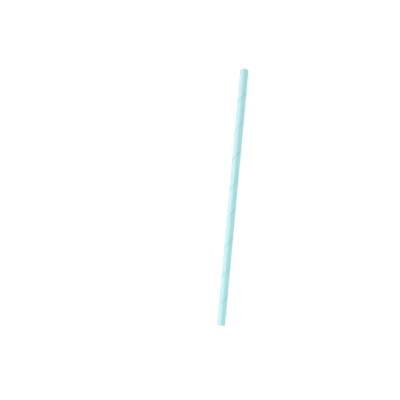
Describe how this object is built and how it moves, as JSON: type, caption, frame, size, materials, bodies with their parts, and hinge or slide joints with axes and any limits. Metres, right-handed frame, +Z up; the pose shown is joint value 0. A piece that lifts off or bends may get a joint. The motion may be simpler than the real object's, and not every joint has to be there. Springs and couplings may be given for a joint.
{
  "type": "paper drinking straw",
  "caption": "Straight drinking straw of glued paper strips wound up a helix into one open-ended tube, dyed pale aqua outside.",
  "frame": {"origin": "on the surface that the straw lies on, under the middle of its length", "axes": "+X along the tube towards the end whose outer seam starts it, +Z up, square to the surface"},
  "size_m": [0.197, 0.0064, 0.0064],
  "materials": {
    "dyed_paper": "matt, smooth dyed outer strip over plain white paper"
  },
  "bodies": {
    "root": {"straw_tube": "dyed_paper"}
  },
  "joints": []
}
